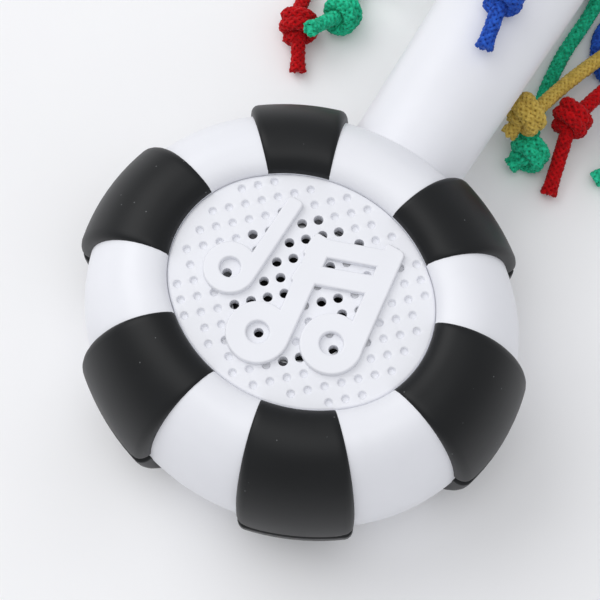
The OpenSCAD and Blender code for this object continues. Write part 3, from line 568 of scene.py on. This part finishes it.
def bumper(name, number, rear, corner):
    """A slab with rounded corners and edges, bent over the ring's section and round the oval."""
    length = SECTION_LENGTHS[-1] - PAD_START - PAD_SEAM
    bm = bmesh.new()
    bmesh.ops.create_cube(bm, size=1, matrix=Matrix.Diagonal((PAD_W, length, 1, 1)))
    outer = [e for e in bm.edges if all(v.co.y > 0 for v in e.verts) and e.verts[0].co.x == e.verts[1].co.x]
    round_edges(bm, outer, corner, segments=6)
    top = [e for e in bm.edges if all(v.co.z > 0 for v in e.verts)]
    round_edges(bm, top, PAD_EDGE, segments=5)
    for axis, count, size in (((0, 1, 0), CUTS_ALONG, length), ((1, 0, 0), CUTS_ACROSS, PAD_W)):
        for i in range(1, count):
            cut_across(bm, Vector(axis) * (i / count - 0.5) * size, axis)
    middle = math.tau / PADS * (number - 1)
    for v in bm.verts:
        along = v.co.y + length / 2
        lift = v.co.z + 0.5
        out, height = ring_point(turn_at(along + PAD_START), lift - PAD_SINK * (1 - lift))
        half_angle = PAD_INNER_ANGLE + (PAD_OUTER_ANGLE - PAD_INNER_ANGLE) * along / length
        before = PAD_HANDLE_ANGLE if number == PAD_AFTER_HANDLE else half_angle
        after = PAD_HANDLE_ANGLE if number == PAD_BEFORE_HANDLE else half_angle
        angle = middle - before + (v.co.x / PAD_W + 0.5) * (before + after)
        reach = from_middle(angle, out, number in END_PADS)
        if rear:
            height = max(-height, -PARTING_Z)
        v.co = place(reach * math.cos(angle), reach * math.sin(angle), PARTING_Z + height)
    solid_piece(name, bm, "black_rubber", [name])


for number in range(1, PADS + 1):
    bumper(f"front_pad_{number}", number, False, FRONT_CORNER)
    bumper(f"rear_pad_{number}", number, True, REAR_CORNER)


# Grille: an oval plate with a turned lattice of holes, blind outside the speaker's field, and raised notes
GRILLE_T = 2
# How far the plate's edge lies inside the opening, and its round
GRILLE_EDGE = 0.03
GRILLE_ROUND = 0.5
GRILLE_SIDES = 144
HOLE_PITCH = 2.8
HOLE_R = 0.8
HOLE_ROUND = 0.14
HOLE_SIDES = 16
# Radius of the field of open holes, and the share of the oval that has holes at all
OPEN_R = 12.7
RIM_SHARE = 0.935
# A blind hole's radius at the face, its depth, and its floor's share of that radius
DIMPLE_R = 0.7
DIMPLE_DEPTH = 0.7
DIMPLE_FLOOR = 0.7
# How far clear of a note a hole goes through, and how far under its edge the holes end
CLEAR_OF_NOTE = 0.25
UNDER_NOTE = 0.35
# The hole in the narrow gap between two note heads is blind
BLIND_IN_GAP = (-1, 3)
# Note heads: centre, radius and the hollow's radius; stems and beams: corners
NOTE_HEADS = [(-11.8, -3.1, 4.5, 1.75), (-2, -10.1, 5.3, 1.9), (9.2, -5.45, 5.2, 1.95)]
NOTE_BARS = [[(-10.1, -3.1), (-7.3, -3.1), (-7.3, 12.9), (-10.1, 12.9)],
             [(-0.3, -9.5), (3.3, -9.5), (0.5, 9.6), (-3.1, 9.6)],
             [(10.8, -5.5), (14.4, -5.5), (11.5, 14.2), (7.9, 14.2)],
             [(-3.1, 5.1), (11.5, 10.7), (11.5, 14.2), (-3.1, 8.6)],
             [(-2.4, 0.1), (12, 5.67), (12, 9.27), (-2.4, 3.7)]]
# How far above the plate the solid's notes are cut off, and how near a corner snaps to the cut
NOTE_CUT = 0.02
CUT_SNAP = 0.0001
# Edges shorter than the first are drawn together, and upright ones are taller than the second
NOTE_SLIVER = 0.12
NOTE_UPRIGHT = 0.5
# Least turn of a note's edge that is rounded, in radians, and the rounds of its corners and top edges
NOTE_TURN = 0.7
NOTE_CORNER = 0.8
NOTE_ROUND = 0.35
# How near the notes' top an edge lies to be a top edge
NEAR_TOP = 0.01


def depth_in_notes(point):
    """How deep a point lies inside the notes' outlines; negative outside them."""
    depths = []
    for x, y, radius, hollow in NOTE_HEADS:
        from_centre = (point - Vector((x, y))).length
        depths.append(min(radius - from_centre, from_centre - hollow))
    for bar in NOTE_BARS:
        sides = zip(bar, bar[1:] + bar[:1])
        depths.append(min((Vector(b) - Vector(a)).normalized().cross(point - Vector(a)) for a, b in sides))
    return max(depths)


def loop_down(bm, edges, depth, share=1):
    """Extrudes a loop of edges down, drawn towards its middle; gives the new loop's edges."""
    new = bmesh.ops.extrude_edge_only(bm, edges=edges)["geom"]
    verts = [g for g in new if isinstance(g, bmesh.types.BMVert)]
    middle = sum((v.co for v in verts), Vector()) / len(verts)
    for v in verts:
        v.co = middle + (v.co - middle) * share - Vector((0, 0, depth))
    return [g for g in new if isinstance(g, bmesh.types.BMEdge) and all(v in verts for v in g.verts)]


def grille_plate():
    """The plate's face, its rim, and the wall and floor of every hole."""
    bm = bmesh.new()
    rim = bmesh.ops.create_circle(bm, segments=GRILLE_SIDES, radius=1)["verts"]
    for v in rim:
        angle = math.atan2(v.co.y, v.co.x)
        v.co = v.co.normalized() * from_middle(angle, -GRILLE_EDGE, towards_end(v.co.x, v.co.y))
    rim_edges = edges_of(rim)
    open_holes = []
    blind_holes = []
    count = math.ceil(DISC_A / HOLE_PITCH) + 1
    for i in range(-count, count + 1):
        for j in range(-count, count + 1):
            at = Vector((i + j, i - j)) * HOLE_PITCH / math.sqrt(2)
            deep = depth_in_notes(at)
            if math.hypot(at.x / DISC_A, at.y / DISC_B) > RIM_SHARE or deep > UNDER_NOTE:
                continue
            through = at.length <= OPEN_R and deep < -CLEAR_OF_NOTE and (i, j) != BLIND_IN_GAP
            hole = bmesh.ops.create_circle(bm, segments=HOLE_SIDES, radius=HOLE_R if through else DIMPLE_R,
                                           matrix=Matrix.Translation(at.to_3d()))["verts"]
            (open_holes if through else blind_holes).append(edges_of(hole))
    bmesh.ops.triangle_fill(bm, edges=bm.edges[:], use_beauty=True, normal=(0, 0, 1))
    for edges in blind_holes:
        bmesh.ops.edgeloop_fill(bm, edges=loop_down(bm, edges, DIMPLE_DEPTH, DIMPLE_FLOOR))
    under = [e for edges in [rim_edges] + open_holes for e in loop_down(bm, edges, GRILLE_T)]
    bmesh.ops.triangle_fill(bm, edges=under, use_beauty=True, normal=(0, 0, -1))
    round_edges(bm, [e for edges in open_holes + blind_holes for e in edges], HOLE_ROUND, segments=2)
    round_edges(bm, rim_edges, GRILLE_ROUND, segments=3)
    for v in bm.verts:
        v.co = place(v.co.x, v.co.y, PARTING_Z + SEAT_Z + v.co.z)
    return bm


def add_raised_notes(bm):
    """Adds the solid notes above the plate, with rounded corners and a rounded top edge."""
    notes = merged_copy("speaker_grille")
    above_plate = (PARTING_Z + SEAT_Z + NOTE_CUT) * MM
    cut_across(notes, (0, 0, above_plate), (0, 0, 1), dist=CUT_SNAP * MM, clear_inner=True)
    bmesh.ops.dissolve_limit(notes, angle_limit=FLAT_TURN, verts=notes.verts, edges=notes.edges)
    bmesh.ops.dissolve_degenerate(notes, dist=NOTE_SLIVER * MM, edges=notes.edges)
    corners = [e for e in notes.edges if abs(e.verts[0].co.z - e.verts[1].co.z) > NOTE_UPRIGHT * MM
               and len(e.link_faces) == 2 and e.calc_face_angle_signed(0) > NOTE_TURN]
    round_edges(notes, corners, NOTE_CORNER * MM, segments=4)
    high = max(v.co.z for v in notes.verts) - NEAR_TOP * MM
    top = [e for e in notes.edges if all(v.co.z > high for v in e.verts)
           and len(e.link_faces) == 2 and e.calc_face_angle() > NOTE_TURN]
    round_edges(notes, top, NOTE_ROUND * MM, segments=3)
    mesh = bpy.data.meshes.new("notes")
    notes.to_mesh(mesh)
    notes.free()
    bm.from_mesh(mesh)
    bpy.data.meshes.remove(mesh)


bm = grille_plate()
add_raised_notes(bm)
keep_flats_flat(solid_piece("speaker_grille_moulded", bm, "white_plastic", ["speaker_grille"]))


# Smooth mouldings: the turned and swept shells, merged so that light runs evenly over them
SMOOTH_SHELLS = ("head_front_shell", "head_rear_shell", "handle_tube", "hub_front_shell", "hub_end_shell")
# Round of the edge where two shells meet, and the least turn of that edge, in radians
PARTING_EDGE = 0.2
PARTING_TURN = 1


def on_parting_line(edge):
    """Whether an edge is a shell's outer one, on the plane where the head's or the hub's two shells meet."""
    if edge.calc_face_angle(0) < PARTING_TURN:
        return False
    middle = (edge.verts[0].co + edge.verts[1].co) / 2 / MM
    from_head = middle - place(0, 0, PARTING_Z) / MM
    from_hub = middle - place(0, HUB_Y, PARTING_Z) / MM
    if abs(from_hub.y) < ON_PLANE:
        return from_hub.length > HUB_R - PARTING_EDGE
    if abs(from_head.z) < ON_PLANE:
        angle = math.atan2(from_head.y, from_head.x)
        on_end = towards_end(from_head.x, from_head.y)
        return from_head.length > from_middle(angle, RING_W - PARTING_EDGE, on_end)
    return False


for name in SMOOTH_SHELLS:
    bm = merged_copy(name)
    round_edges(bm, [e for e in bm.edges if on_parting_line(e)], PARTING_EDGE * MM, segments=2)
    keep_flats_flat(solid_piece(name + "_moulded", bm, SLOT_OF[name], [name]))


# Screws: a rounded head with a cross for the driver
HEAD_ROUND = 0.35
# The cross: its arms' share of the head's flat, their width, its depth, and its floor's share of its face
CROSS_REACH = 0.72
CROSS_W = 0.7
CROSS_DEPTH = 0.6
CROSS_FLOOR = 0.85
# Which way each set's heads face, and the body that carries it
SCREWS = {"door_screws": (-1, "battery_cover"), "shell_screws": (-1, "toy"), "board_screws": (1, "toy")}


def whole_faces(node_name):
    """A merged copy of a node in millimetres, with each flat face in one piece."""
    bm = merged_copy(node_name)
    bm.transform(Matrix.Scale(1 / MM, 4))
    bmesh.ops.dissolve_limit(bm, angle_limit=FLAT_TURN, verts=bm.verts, edges=bm.edges)
    return bm


def end_faces(bm, way):
    """The flat faces at the top of a mesh, or at its bottom for way -1."""
    end = max(v.co.z * way for v in bm.verts)
    return [f for f in bm.faces if all(v.co.z * way > end - ON_PLANE for v in f.verts)]


def driven_screws(node_name, way, body):
    """The screws of a node, each head rounded at its edge and with a tapered cross sunk into it."""
    bm = whole_faces(node_name)
    round_edges(bm, edges_of(end_faces(bm, way)), HEAD_ROUND, segments=4)
    for face in end_faces(bm, way):
        middle = face.calc_center_bounds()
        reach = CROSS_REACH * (face.verts[0].co - middle).length
        half = CROSS_W / 2
        arm = [(half, half), (half, reach), (-half, reach)]
        corners = [Matrix.Rotation(math.pi / 2 * i, 2) @ Vector(p) for i in range(4) for p in arm]
        cross = [bm.verts.new(middle + p.to_3d()) for p in corners]
        sides = [bm.edges.new(pair) for pair in zip(cross, cross[1:] + cross[:1])]
        rim = face.edges[:]
        bmesh.ops.delete(bm, geom=[face], context="FACES_ONLY")
        bmesh.ops.triangle_fill(bm, edges=rim + sides, use_beauty=True, normal=(0, 0, way))
        bmesh.ops.edgeloop_fill(bm, edges=loop_down(bm, sides, CROSS_DEPTH * way, CROSS_FLOOR))
    bm.transform(Matrix.Scale(MM, 4))
    solid_piece(node_name + "_driven", bm, SLOT_OF[node_name], [node_name], body)


for name, (way, body) in SCREWS.items():
    driven_screws(name, way, body)


# Switch knob: ridges across its face for a fingertip
RIDGES = 4
RIDGE_DEPTH = 0.35


def ridged_knob(node_name, body):
    """The knob with its face folded into ridges."""
    bm = whole_faces(node_name)
    places = [v.co.x for f in end_faces(bm, -1) for v in f.verts]
    start = min(places)
    step = (max(places) - start) / (2 * RIDGES)
    for i in range(1, 2 * RIDGES):
        cut_across(bm, (start + step * i, 0, 0), (1, 0, 0))
    for v in {v for f in end_faces(bm, -1) for v in f.verts}:
        in_groove = round((v.co.x - start) / step) % 2 == 0
        v.co.z += RIDGE_DEPTH if in_groove else 0
    bm.transform(Matrix.Scale(MM, 4))
    solid_piece(node_name + "_ridged", bm, SLOT_OF[node_name], [node_name], body)


ridged_knob("power_switch_knob", "switch_knob")


# Floor, light and world, in metres; the floor lies just under the toy, so that no two faces share a plane
FLOOR_HALF = 3
FLOOR_Z = -0.0003
ROOM_STRENGTH = 0.68

floor_mesh = bpy.data.meshes.new("floor")
bm = bmesh.new()
bmesh.ops.create_grid(bm, x_segments=1, y_segments=1, size=FLOOR_HALF)
bm.to_mesh(floor_mesh)
bm.free()
floor = bpy.data.objects.new("floor", floor_mesh)
floor.location.z = FLOOR_Z
scene.collection.objects.link(floor)
# Matt paper: an even, near white ground that takes a soft shadow
paper, tree, shader, where = new_material("pale_paper", Roughness=0.7)
mottled(tree, shader, where, "#f6f6f7", "#f4f4f5", patch_mm=60, rough=(0.65, 0.75),
        grain_mm=1, grain_depth_mm=0.02, bump=0.05)
floor_mesh.materials.append(paper)


def soft_lamp(name, at, aim, size, power):
    """A round area lamp aimed at a point."""
    data = bpy.data.lights.new(name, "AREA")
    data.shape = "DISK"
    data.size = size
    data.energy = power
    lamp = bpy.data.objects.new(name, data)
    lamp.location = at
    lamp.rotation_euler = (Vector(aim) - Vector(at)).to_track_quat("-Z", "Y").to_euler()
    scene.collection.objects.link(lamp)


soft_lamp("key", at=(-0.84, 0.05, 1.0), aim=(0, -0.02, 0.02), size=1.1, power=6.0)
soft_lamp("fill", at=(0.12, -0.2, 1.3), aim=(0, -0.02, 0.02), size=0.9, power=2.9)

# White room light, a little cool
world = bpy.data.worlds.new("studio")
world.use_nodes = True
room = world.node_tree.nodes["Background"]
room.inputs["Color"].default_value = hex_colour("#f5f6f9")
room.inputs["Strength"].default_value = ROOM_STRENGTH
scene.world = world
